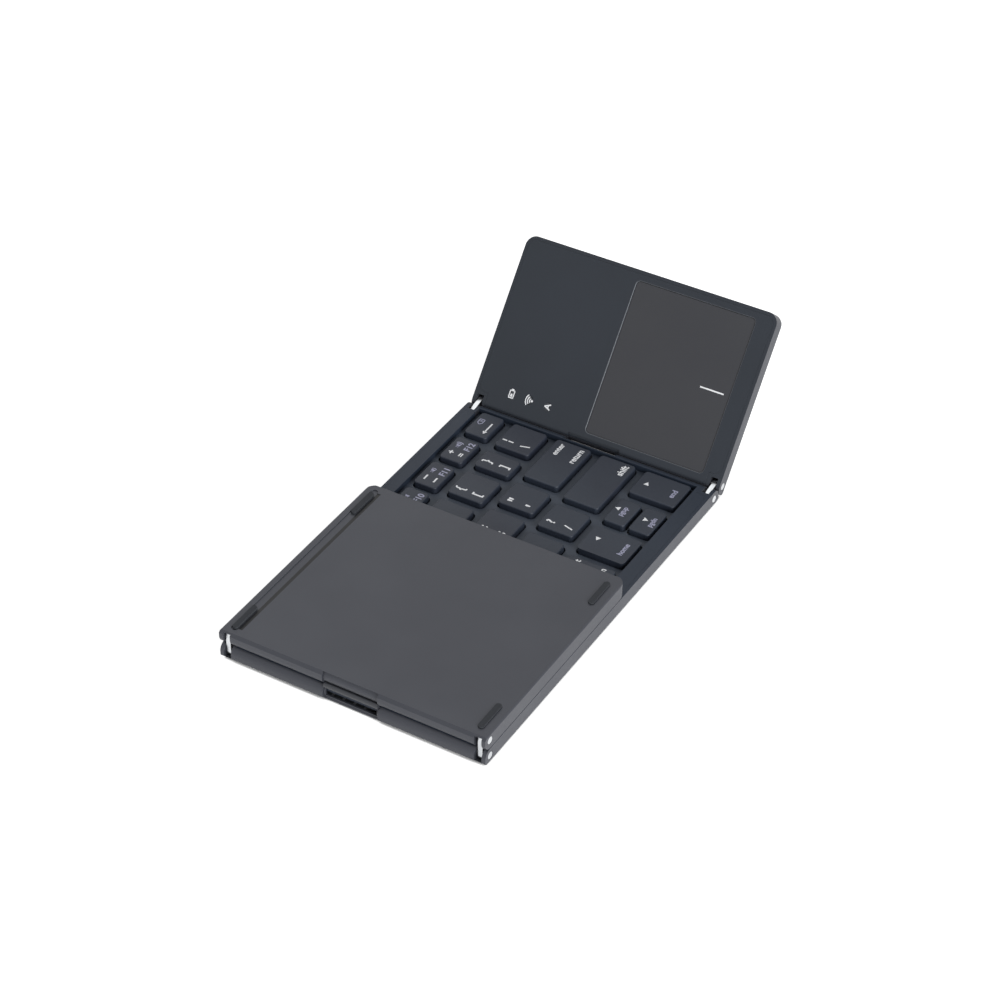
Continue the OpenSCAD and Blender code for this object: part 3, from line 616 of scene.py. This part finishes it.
# %% Keys
KEY_RADIUS = 0.5 * MM
TOP_BAND = 0.01 * MM
key_nodes = sorted(name for name, slot in slot_of.items() if slot == "keycap")
for name in key_nodes:
    shape = merged_copy(name)
    panel = "left" if "left" in body_of[name] and "row" in body_of[name] else "middle"
    top = max(rim_height(v.co, panel) for v in shape.verts)
    edges = [e for e in sharp_edges(shape)
             if all(rim_height(v.co, panel) > top - TOP_BAND for v in e.verts)]
    stand_in(name, rounded(shape, edges, KEY_RADIUS, 4))

# %% [markdown]
# ## Where a legend goes
# A legend belongs to the face of its key, so its place is measured on the key and not on the world.
# Each key face gets a small frame of its own: X along the reading direction, Y towards the far edge
# and Z out of the face. The keys of the folded flap lie upside down, so their frame is turned half
# round about Y, and their legends read correctly once the flap is opened.


# %% Frames of the key faces
KEY_GAP = 0.5 * MM


def key_faces(name):
    """Frame and width of each key face of a node, in reading order."""
    turned = body_of[name].startswith("key_row_left")
    side = -1 if turned else 1
    mesh = nodes[name].data
    level = side * max(side * v.co.z for v in mesh.vertices)
    corners = [[mesh.vertices[i].co for i in p.vertices] for p in mesh.polygons
               if abs(p.center.z - level) < TOP_BAND]
    spans = []
    for group in sorted(corners, key=lambda group: min(side * c.x for c in group)):
        start = min(side * c.x for c in group)
        if spans and start < max(side * c.x for c in spans[-1]) + KEY_GAP:
            spans[-1].extend(group)
        else:
            spans.append(list(group))
    turn = Matrix.Rotation(math.pi if turned else 0.0, 4, "Y")
    faces = []
    for span in spans:
        xs, ys = [c.x for c in span], [c.y for c in span]
        middle = Vector(((min(xs) + max(xs)) / 2, (min(ys) + max(ys)) / 2, level))
        faces.append((Matrix.Translation(middle) @ turn, (max(xs) - min(xs)) / MM))
    return faces


for name in ("middle_number_keys", "left_bottom_keys"):
    print(name, [round(width, 2) for _, width in key_faces(name)])

# %% [markdown]
# ## Drawing with ink
# A word is a text curve that is turned into a mesh. It has a little thickness, so half of it sinks
# into the key and half of it stands on the key, like a film of ink. The symbols are drawn from
# bars, rings, arcs and triangles in the same way, and the legends of a node are one mesh.

# %% Bars, arcs, triangles and words
# INK is half of the ink's thickness. BOLD and LETTER_WELD are shares of a letter's size.
INK = 0.012 * MM
BOLD = 0.024
LETTER_WELD = 0.0005
DEGREES_PER_STEP = 20


def solid(shape, faces, at):
    """Gives flat faces the thickness of ink and moves them to their place."""
    pushed = bmesh.ops.extrude_face_region(shape, geom=faces)["geom"]
    bmesh.ops.translate(shape, verts=[g for g in pushed if isinstance(g, bmesh.types.BMVert)],
                        vec=(0, 0, 2 * INK))
    for face in faces:
        face.normal_flip()
    bmesh.ops.transform(shape, matrix=at @ Matrix.Translation((0, 0, -INK)), verts=shape.verts)
    bmesh.ops.recalc_face_normals(shape, faces=shape.faces)
    return shape


def bar(at, x, y, length, width, angle=0.0):
    """A straight stroke, measured in millimetres on the key."""
    shape = bmesh.new()
    turn = Matrix.Translation((x * MM, y * MM, 0)) @ Matrix.Rotation(math.radians(angle), 4, "Z")
    bmesh.ops.create_grid(shape, x_segments=1, y_segments=1, size=0.5,
                          matrix=turn @ Matrix.Diagonal((length * MM, width * MM, 1, 1)))
    return solid(shape, shape.faces[:], at)


def triangle(at, x, y, size, angle=0.0):
    """A triangle that points along angle."""
    shape = bmesh.new()
    turn = Matrix.Rotation(math.radians(angle - 90), 4, "Z")
    bmesh.ops.create_circle(shape, cap_ends=True, segments=3, radius=size * MM,
                            matrix=Matrix.Translation((x * MM, y * MM, 0)) @ turn)
    return solid(shape, shape.faces[:], at)


def arc(at, x, y, radius, width, start, end):
    """Part of a ring between two angles, spun from one short edge."""
    shape = bmesh.new()
    near, far = (radius - width / 2) * MM, (radius + width / 2) * MM
    ends = [shape.verts.new((r, 0, 0)) for r in (near, far)]
    edge = shape.edges.new(ends)
    bmesh.ops.rotate(shape, verts=ends, matrix=Matrix.Rotation(math.radians(start), 3, "Z"))
    steps = max(4, round((end - start) / DEGREES_PER_STEP))
    bmesh.ops.spin(shape, geom=[*ends, edge], axis=(0, 0, 1), cent=(0, 0, 0), dvec=(0, 0, 0),
                   angle=math.radians(end - start), steps=steps, use_merge=end - start >= 360)
    bmesh.ops.translate(shape, verts=shape.verts, vec=(x * MM, y * MM, 0))
    return solid(shape, shape.faces[:], at)


def word(at, text, x, y, size, side=0):
    """A word in the built-in font, held at its left end (-1), middle (0) or right end (1)."""
    curve = bpy.data.curves.new("word", "FONT")
    curve.body, curve.resolution_u, curve.offset = text, 4, BOLD
    curve.extrude = INK / (size * MM)
    thing = bpy.data.objects.new("word", curve)
    mesh = bpy.data.meshes.new_from_object(thing)
    shape = bmesh.new()
    shape.from_mesh(mesh)
    bmesh.ops.remove_doubles(shape, verts=shape.verts, dist=LETTER_WELD)
    xs, ys = [v.co.x for v in shape.verts], [v.co.y for v in shape.verts]
    hold = ((min(xs) + max(xs)) / 2 + side * (max(xs) - min(xs)) / 2, (min(ys) + max(ys)) / 2)
    bmesh.ops.translate(shape, verts=shape.verts, vec=(-hold[0], -hold[1], 0))
    bmesh.ops.transform(shape, matrix=at @ Matrix.Translation((x * MM, y * MM, 0))
                        @ Matrix.Scale(size * MM, 4), verts=shape.verts)
    bpy.data.objects.remove(thing)
    bpy.data.curves.remove(curve)
    bpy.data.meshes.remove(mesh)
    return shape


# %% [markdown]
# ## Small symbols
# Each symbol is a list of strokes round the point where it is printed. The loudspeaker has no, one
# or two waves. The sun, the house, the magnifier and the play signs are the usual generic ones.


# %% Symbols
def symbol(at, kind, x, y):
    """The strokes of one small symbol."""
    if kind.startswith("speaker"):
        strokes = [bar(at, x - 1.3, y, 0.7, 1.0), triangle(at, x - 0.7, y, 1.05, 180)]
        for wave in range(int(kind[-1])):
            strokes.append(arc(at, x - 0.7, y, 1.2 + 0.7 * wave, 0.34, -45, 45))
        return strokes
    if kind.startswith("sun"):
        radius = 0.6 + 0.25 * int(kind[-1])
        rays = [bar(at, x + 1.5 * radius * math.cos(math.radians(a)),
                    y + 1.5 * radius * math.sin(math.radians(a)), 0.45, 0.26, a)
                for a in range(0, 360, 45)]
        return [arc(at, x, y, radius * 0.75, 0.34, 0, 360), *rays]
    if kind == "magnifier":
        return [arc(at, x - 0.25, y + 0.25, 0.8, 0.34, 0, 360),
                bar(at, x + 0.75, y - 0.75, 1.0, 0.36, -45)]
    if kind == "house":
        return [triangle(at, x, y + 0.4, 1.2, 90), bar(at, x, y - 0.55, 1.3, 1.0)]
    if kind == "back":
        return [triangle(at, x - 0.65, y, 0.9, 180), triangle(at, x + 0.65, y, 0.9, 180)]
    if kind == "play":
        return [triangle(at, x - 0.6, y, 0.95, 0), bar(at, x + 0.55, y, 0.36, 1.5),
                bar(at, x + 1.2, y, 0.36, 1.5)]
    if kind == "next":
        return [triangle(at, x - 0.65, y, 0.9, 0), triangle(at, x + 0.65, y, 0.9, 0)]
    if kind == "lock":
        return [bar(at, x, y - 0.4, 1.6, 1.2), arc(at, x, y + 0.2, 0.52, 0.32, 0, 180)]
    if kind == "screen":
        return [bar(at, x, y + 0.75, 2.2, 0.32), bar(at, x, y - 0.55, 2.2, 0.32),
                bar(at, x - 0.95, y + 0.1, 0.32, 1.3), bar(at, x + 0.95, y + 0.1, 0.32, 1.3)]
    if kind == "dash":
        return [bar(at, x, y, 2.6, 0.6)]
    if kind == "long_arrow":
        return [bar(at, x + 0.5, y, 5.2, 0.55), triangle(at, x - 2.4, y, 1.0, 180)]
    if kind == "clear":
        return [bar(at, x + 0.4, y + 0.9, 2.2, 0.3), bar(at, x + 0.4, y - 0.9, 2.2, 0.3),
                bar(at, x + 1.4, y, 0.3, 1.8), bar(at, x - 1.15, y + 0.45, 1.3, 0.3, 45),
                bar(at, x - 1.15, y - 0.45, 1.3, 0.3, -45), bar(at, x + 0.4, y, 1.1, 0.3, 45),
                bar(at, x + 0.4, y, 1.1, 0.3, -45)]
    return [triangle(at, x, y, 1.15, {"right": 0, "up": 90, "left": 180, "down": 270}[kind])]


# %% [markdown]
# ## The legends of each row
# A mark is what is printed, the side of the key it is measured from (-1 left, 0 middle, 1 right),
# its place in millimetres, the size of its letters and the number of its ink. A name after # stands
# for a symbol. Number keys have their two signs at the left and a second function in grey at the
# right. The keys that the photograph hides follow the usual order of such a keyboard.


# %% Legend tables
def pair(upper, lower, x=-3.0, size=4.5):
    """Two signs above each other."""
    return [(upper, 0, x, 3.4, size, 0), (lower, 0, x, -3.3, size, 0)]


def number(upper, lower, step, kind):
    """Sign and digit, with a symbol and the number of the function key."""
    return [(upper, 0, -2.4, 1.9, 3.6, 0), (lower, 0, -2.4, -1.9, 3.6, 0),
            ("#" + kind, 0, 2.5, 1.7, 0, 1), ("F%d" % step, 0, 2.9, -2.2, 3.3, 1)]


def letter(sign):
    """One letter in the upper left."""
    return [(sign, 0, -3.0, 3.2, 4.4, 0)]


def side_word(text):
    """A word at the outer edge of a key of the left flap."""
    return [(text, -1, 1.6, -3.7, 3.2, 0)]


def low_word(text):
    """A word near the front of a bottom key of the left flap."""
    return [(text, -1, 1.4, -5.0, 3.2, 0)]


legends = {
    "left_number_keys": [[("esc", -1, 1.6, -1.6, 3.4, 0)], number("!", "1", 1, "house"),
                         number("@", "2", 2, "magnifier"), number("#", "3", 3, "screen"),
                         number("$", "4", 4, "sun0")],
    "middle_number_keys": [number("%", "5", 5, "sun1"), number("^", "6", 6, "lock"),
                           number("&", "7", 7, "back"), number("*", "8", 8, "play"),
                           number("(", "9", 9, "next")],
    "key_zero": [number(")", "0", 10, "speaker0")],
    "key_minus": [number("#dash", "#dash", 11, "speaker1")],
    "key_plus": [number("+", "=", 12, "speaker2")],
    "key_backspace": [[("#clear", 0, 1.2, 2.1, 0, 1), ("#long_arrow", 0, -1.1, -2.1, 0, 0)]],
    "left_upper_keys": [side_word("tab")] + [letter(c) for c in "QWER"],
    "middle_upper_keys": [letter(c) for c in "TYUIOP"],
    "key_left_bracket": [pair("{", "[")],
    "key_right_bracket": [pair("}", "]", -0.8)],
    "key_backslash": [pair("\u00a6", "\\")],
    "left_home_keys": [side_word("caps")] + [letter(c) for c in "ASDF"],
    "middle_home_keys": [letter(c) for c in "GHJKL"] + [pair(":", ";")],
    "key_quote": [pair("\"", "'", -3.2, 6.0)],
    "key_enter": [[("enter", 1, 1.9, 3.5, 3.0, 0), ("return", 1, 1.8, -3.9, 3.15, 0)]],
    "left_lower_keys": [side_word("shift")] + [letter(c) for c in "ZXC"],
    "middle_lower_keys": [letter(c) for c in "VBNM"] + [pair("<", ","), pair(">", ".")],
    "key_slash": [pair("?", "/", -2.7)],
    "key_right_shift": [[("shift", 1, 1.6, -3.7, 3.4, 0)]],
    "left_bottom_keys": [low_word("fn"), low_word("ctrl"), low_word("option"), low_word("alt"), []],
    "key_space": [[]],
    "key_alt": [[("alt", 1, 1.1, 5.0, 3.2, 0), ("option", 1, 1.1, -4.9, 3.2, 0)]],
    "key_arrow_left": [[("#left", 0, 1.0, 5.0, 0, 0), ("home", 0, 0.2, -5.1, 2.75, 1)]],
    "key_arrow_up": [[("#up", 0, 1.0, 2.2, 0, 0), ("pgup", 0, 0.3, -0.5, 2.6, 1)]],
    "key_arrow_down": [[("#down", 0, 0.3, 1.1, 0, 0), ("pgdn", 0, 0.1, -1.9, 2.6, 1)]],
    "key_arrow_right": [[("#right", 0, 0.0, 5.1, 0, 0), ("end", 0, -0.3, -5.1, 2.9, 1)]]}
print(sum(len(marks) for row in legends.values() for marks in row), "marks")


# %% Print the keys
def printed(name, strokes, body, finishes):
    """Collects strokes, each with the number of its ink, in one piece."""
    whole = bmesh.new()
    for shape, tint in strokes:
        for face in shape.faces:
            face.material_index = tint
        mesh = bpy.data.meshes.new("stroke")
        shape.to_mesh(mesh)
        shape.free()
        whole.from_mesh(mesh)
        bpy.data.meshes.remove(mesh)
    piece = place(whole, name, finishes, body)
    return piece


def mark_strokes(at, width, mark):
    """The strokes of one mark on a key face."""
    what, side, x, y, size, tint = mark
    x = side * (width / 2 - x) if side else x
    if what.startswith("#") and len(what) > 1:
        return [(shape, tint) for shape in symbol(at, what[1:], x, y)]
    return [(word(at, what, x, y, size, side), tint)]


for name, row in legends.items():
    faces = key_faces(name)
    strokes = [stroke for (at, width), marks in zip(faces, row, strict=True)
               for mark in marks for stroke in mark_strokes(at, width, mark)]
    if strokes:
        printed(name + "_legend", strokes, body_of[name], [white_ink, grey_ink])
print(len(legends), "nodes of keys")

# %% [markdown]
# ## Marks on the touchpad flap
# Three lights show through the cover: a battery, a wireless link and capital letters. The touchpad
# has one short line that parts its left and right click. The flap stands at an angle, so its frame
# is built from the place of its hinge pin and the angle at which it stands.

# %% Frame of the touchpad flap
pin = next(Vector(j["pos_m"]) for j in frame["joints"] if j["name"] == "fold_right_flap")
across = Vector((0, 1, 0))
along = across.cross(touch_out)
turn = Matrix((along, across, touch_out)).transposed().to_4x4()
flap_frame = Matrix.Translation(pin) @ turn


def on_flap(name):
    """Lowest and highest corner of a node in the frame of the flap, in millimetres."""
    spots = [flap_frame.inverted() @ v.co / MM for v in nodes[name].data.vertices]
    return [Vector([pick(spot[i] for spot in spots) for i in range(3)]) for pick in (min, max)]


touch_low, touch_high = on_flap("touchpad")
light_low, light_high = on_flap("indicator_lights")
print("touchpad", [round(v, 2) for v in touch_high - touch_low], "mm")

# %% Lights and click line
LIGHT_INSET = 0.75
LINE_LENGTH, LINE_WIDTH = 9.0, 0.5
LINE_FROM_FRONT = 6.7
light_x = (light_low.x + light_high.x) / 2
first_y, last_y = light_high.y - LIGHT_INSET, light_low.y + LIGHT_INSET
middle_y = (first_y + last_y) / 2
light_face = flap_frame @ Matrix.Translation((0, 0, light_high.z * MM))
battery_mark = [bar(light_face, light_x, first_y + 0.85, 2.9, 0.4),
                bar(light_face, light_x, first_y - 0.85, 2.9, 0.4),
                bar(light_face, light_x - 1.3, first_y, 0.4, 2.0),
                bar(light_face, light_x + 1.3, first_y, 0.4, 2.0),
                bar(light_face, light_x + 1.7, first_y, 0.4, 0.9),
                bar(light_face, light_x - 0.4, first_y, 1.0, 0.8)]
wave_mark = [arc(light_face, light_x, middle_y - 1.1, r, 0.4, 45, 135) for r in (1.0, 1.8, 2.6)]
wave_mark.append(arc(light_face, light_x, middle_y - 1.0, 0.2, 0.4, 0, 360))
letter_mark = [word(light_face, "A", light_x, last_y, 3.2)]
printed("indicator_marks", [(m, 0) for m in battery_mark + wave_mark + letter_mark],
        "right_flap", [white_ink])
touch_face = flap_frame @ Matrix.Translation((0, 0, touch_high.z * MM))
line_x, line_y = (touch_low.x + touch_high.x) / 2, touch_low.y + LINE_FROM_FRONT
printed("touchpad_click_line", [(bar(touch_face, line_x, line_y, LINE_WIDTH, LINE_LENGTH), 0)],
        "right_flap", [white_ink])
print("three lights and a click line")

# %% [markdown]
# ## Charging socket
# The socket in the end of the touchpad flap is an empty metal box in the engineering model. Inside
# the real one stands a thin plastic tongue with a row of gold contacts on both faces, and the plug
# slides over it. Both are measured from the socket's own box, so they follow it.


# %% Tongue and contacts
TONGUE_BACK, TONGUE_FRONT = 4.2, 0.7
HALF_TONGUE_WIDTH, HALF_TONGUE_THICKNESS = 2.5, 0.3
CONTACTS, CONTACT_PITCH, HALF_CONTACT_WIDTH = 8, 0.55, 0.14
CONTACT_BACK, CONTACT_FRONT, CONTACT_RISE = 0.3, 0.35, 0.02
TONGUE_RADIUS, CONTACT_RADIUS = 0.12 * MM, 0.008 * MM


def flap_block(shape, low, high):
    """Adds a block between two corners in the frame of the flap."""
    size = (high - low) * MM
    spot = Matrix.Translation((low + high) / 2 * MM) @ Matrix.Diagonal((*size, 1))
    return bmesh.ops.create_cube(shape, size=1.0, matrix=flap_frame @ spot)["verts"]


socket_low, socket_high = on_flap("charging_socket")
centre = (socket_low + socket_high) / 2
tongue_low = Vector((socket_high.x - TONGUE_BACK, centre.y - HALF_TONGUE_WIDTH,
                     centre.z - HALF_TONGUE_THICKNESS))
tongue_high = Vector((socket_high.x - TONGUE_FRONT, centre.y + HALF_TONGUE_WIDTH,
                      centre.z + HALF_TONGUE_THICKNESS))
tongue = bmesh.new()
flap_block(tongue, tongue_low, tongue_high)
rounded(tongue, tongue.edges[:], TONGUE_RADIUS, 3)
place(tongue, "charging_tongue", [tongue_plastic], "right_flap")
contacts = bmesh.new()
for side in (tongue_low.z, tongue_high.z):
    for i in range(CONTACTS):
        y = centre.y + (i - (CONTACTS - 1) / 2) * CONTACT_PITCH
        flap_block(contacts,
                   Vector((tongue_low.x + CONTACT_BACK, y - HALF_CONTACT_WIDTH,
                           side - CONTACT_RISE)),
                   Vector((tongue_high.x - CONTACT_FRONT, y + HALF_CONTACT_WIDTH,
                           side + CONTACT_RISE)))
rounded(contacts, contacts.edges[:], CONTACT_RADIUS)
place(contacts, "charging_contacts", [contact_gold], "right_flap")
print("tongue and", 2 * CONTACTS, "contacts")

# %% [markdown]
# ## Light and floor
# The keyboard stands on a white sweep under large soft lamps. A white world lights it from all
# sides, and two wide lamps give the shadows a direction. The floor is white to the camera and in
# reflections, and keeps the object's shadow. The extra white fades to a painted shadow where the
# object covers the floor, or else it would shine through the narrow gap of a hinge.


# %% Lamps
LAMP_DISTANCE = 1.4


def lamp(name, direction, strength, size):
    """A wide square lamp that looks at the object."""
    light = bpy.data.lights.new(name, "AREA")
    light.shape, light.size, light.energy = "SQUARE", size, strength
    thing = bpy.data.objects.new(name, light)
    away_from = Vector(direction).normalized()
    thing.matrix_world = (Matrix.Translation(away_from * LAMP_DISTANCE)
                          @ away_from.to_track_quat("Z", "Y").to_matrix().to_4x4())
    bpy.context.scene.collection.objects.link(thing)


lamp("front_lamp", (-0.45, -1.0, 0.32), 24.0, 0.9)
lamp("top_lamp", (0.4, 0.5, 1.2), 3.0, 1.2)
print("two lamps")

# %% World
AMBIENT = 0.36
world = bpy.data.worlds.new("studio")
bpy.context.scene.world = world
world.use_nodes = True
links, makers = world.node_tree.links, world.node_tree.nodes
makers.clear()


def greater(first, second):
    """The greater of two values."""
    maximum = makers.new("ShaderNodeMath")
    maximum.operation = "MAXIMUM"
    links.new(first, maximum.inputs[0])
    links.new(second, maximum.inputs[1])
    return maximum.outputs[0]


def white_light(strength):
    """White light from all around."""
    background = makers.new("ShaderNodeBackground")
    background.inputs["Color"].default_value = (1, 1, 1, 1)
    background.inputs["Strength"].default_value = strength
    return background.outputs[0]


path = makers.new("ShaderNodeLightPath").outputs
seen = greater(path["Is Camera Ray"], greater(path["Is Glossy Ray"], path["Is Transmission Ray"]))
chosen = makers.new("ShaderNodeMixShader")
links.new(seen, chosen.inputs[0])
links.new(white_light(AMBIENT), chosen.inputs[1])
links.new(white_light(1.0), chosen.inputs[2])
result = makers.new("ShaderNodeOutputWorld")
links.new(chosen.outputs[0], result.inputs["Surface"])
print("white world, with", AMBIENT, "of its light on the object")

# %% Floor
FLOOR = cad_box[0].z
HALF_FLOOR = 6.0
FLOOR_GLOW = 0.66
SHADE_REACH = 30 * MM
sweep = Finish("floor_paper")
ray = sweep.tree.nodes.new("ShaderNodeLightPath")
paper = sweep.node("ShaderNodeBsdfDiffuse", inputs={"Color": (0.9, 0.9, 0.9, 1)})
# Painted shadow: ambient occlusion takes the extra white away under and close to the object.
open_sky = sweep.node("ShaderNodeAmbientOcclusion", inputs={"Distance": SHADE_REACH}, output=1)
clear = sweep.blend(sweep.ramp(open_sky, 0.25, 0.45), (0, 0, 0, 1), (1, 1, 1, 1))
glow = sweep.node("ShaderNodeEmission", inputs={"Color": clear, "Strength": FLOOR_GLOW})
dark = sweep.node("ShaderNodeEmission", inputs={"Color": (0, 0, 0, 1), "Strength": 0.0})
direct = Wire(sweep, ray.outputs["Is Camera Ray"])
mirror = Wire(sweep, ray.outputs["Is Glossy Ray"]) + Wire(sweep, ray.outputs["Is Transmission Ray"])
white = sweep.node("ShaderNodeMixShader", inputs={0: direct + mirror, 1: dark, 2: glow})
both = sweep.node("ShaderNodeAddShader", inputs={0: paper, 1: white})
sweep.node("ShaderNodeOutputMaterial", inputs={"Surface": both})
ground = bmesh.new()
bmesh.ops.create_grid(ground, x_segments=1, y_segments=1, size=HALF_FLOOR,
                      matrix=Matrix.Translation((0, 0, FLOOR)))
ground_mesh = bpy.data.meshes.new("floor")
ground.to_mesh(ground_mesh)
ground.free()
ground_mesh.materials.append(sweep.material)
floor = bpy.data.objects.new("floor", ground_mesh)
bpy.context.scene.collection.objects.link(floor)
print("floor at", round(FLOOR / MM, 2), "mm")
